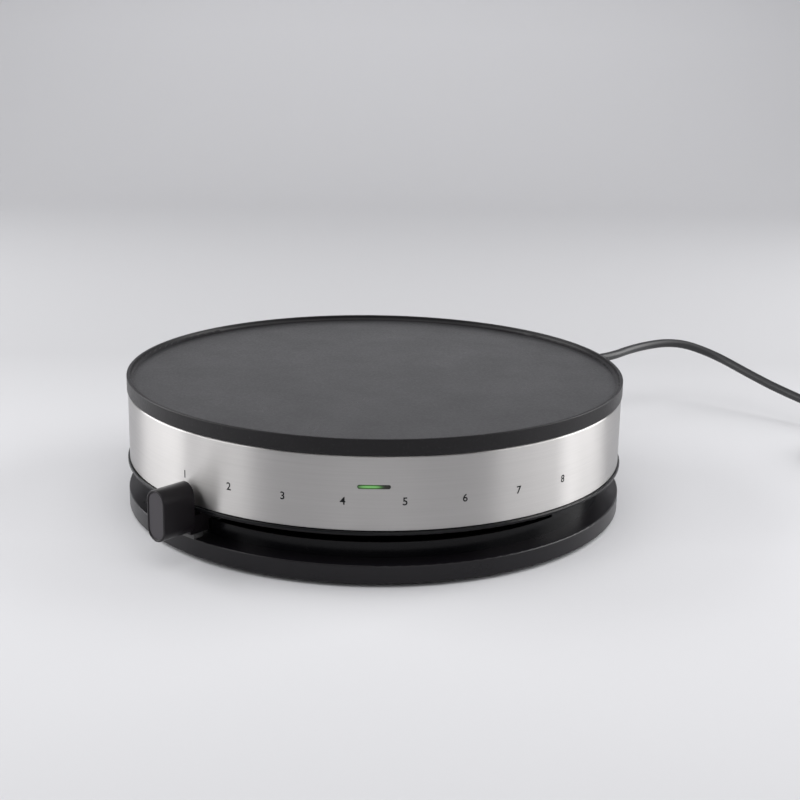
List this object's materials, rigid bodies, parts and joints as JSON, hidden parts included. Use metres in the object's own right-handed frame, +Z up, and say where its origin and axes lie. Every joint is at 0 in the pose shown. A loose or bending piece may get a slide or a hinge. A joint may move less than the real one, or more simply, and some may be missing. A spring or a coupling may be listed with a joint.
{
  "type": "electric crepe maker",
  "caption": "Round electric crepe maker: dark cooking plate with a raised rim on a brushed steel drum, a black base groove with a sliding heat lever, and a coiled lead.",
  "frame": {"origin": "on the drum's axis, at the table under the feet", "axes": "+Z up, -Y towards the lamp and the scale's middle, +X to the right of them"},
  "size_m": [0.616, 0.4458, 0.0927],
  "materials": {
    "griddle_coating": "matt non-stick coating",
    "gasket": "matt",
    "brushed_steel": "fine brushing round the drum",
    "black_housing": "semi-gloss",
    "base_black": "satin",
    "rubber": "matt",
    "screw_steel": "plated",
    "pillar_steel": "plated",
    "shield_sheet": "rolled sheet",
    "ceramic_body": "matt",
    "brass_tabs": "plain",
    "lamp_lens": "translucent green",
    "board_green": "lacquered",
    "inner_plastic": "plain",
    "knob_black": "satin",
    "knob_cap_grey": "satin",
    "element_sheath": "annealed",
    "wire_plastic": "sleeved",
    "cord_rubber": "satin",
    "plug_rubber": "satin",
    "plug_nickel": "nickel plated"
  },
  "bodies": {
    "cooker": {"griddle_plate": "griddle_coating", "insulating_ring": "gasket", "steel_band": "brushed_steel", "lower_housing": "black_housing", "groove_wall": "black_housing", "base_tray": "base_black", "rubber_feet": "rubber", "base_screws": "screw_steel", "plate_screws": "screw_steel", "plate_pillars": "pillar_steel", "heat_shield": "shield_sheet", "thermostat_body": "ceramic_body", "thermostat_tabs": "brass_tabs", "thermostat_bracket": "shield_sheet", "bracket_screws": "screw_steel", "thermal_fuse": "shield_sheet", "fuse_clip": "shield_sheet", "indicator_lens": "lamp_lens", "indicator_board": "board_green", "indicator_leds": "lamp_lens", "lamp_holder": "inner_plastic", "pivot_bush": "brass_tabs", "terminal_block": "ceramic_body", "terminal_screws": "brass_tabs", "clamp_saddle": "inner_plastic", "cord_clamp": "inner_plastic", "clamp_screws": "screw_steel", "inner_cord": "cord_rubber", "cord_gland": "cord_rubber", "heating_element": "element_sheath", "element_terminals": "brass_tabs", "supply_cores": "wire_plastic", "live_wire": "wire_plastic", "switched_wire": "wire_plastic", "element_wire": "wire_plastic", "neutral_wire": "wire_plastic", "earth_wire": "wire_plastic", "lamp_wires": "wire_plastic", "power_cord": "cord_rubber", "cord_coil": "cord_rubber", "cord_tail": "cord_rubber", "plug_body": "plug_rubber", "plug_pins": "plug_nickel", "plug_earth_clips": "plug_nickel"},
    "heat_lever": {"lever_arm": "pillar_steel", "thermostat_spindle": "pillar_steel", "hub_screw": "screw_steel", "spindle_clip": "screw_steel", "slider_knob": "knob_black", "knob_cap": "knob_cap_grey", "knob_screws": "screw_steel", "glide_shoe": "inner_plastic"}
  },
  "joints": [
    {"name": "heat_lever_turn", "type": "hinge", "parent": "cooker", "child": "heat_lever", "pos_m": [0, 0, 0.0345], "axis": [0, 0, 1], "range_deg": [-1.4, 86.1]}
  ]
}
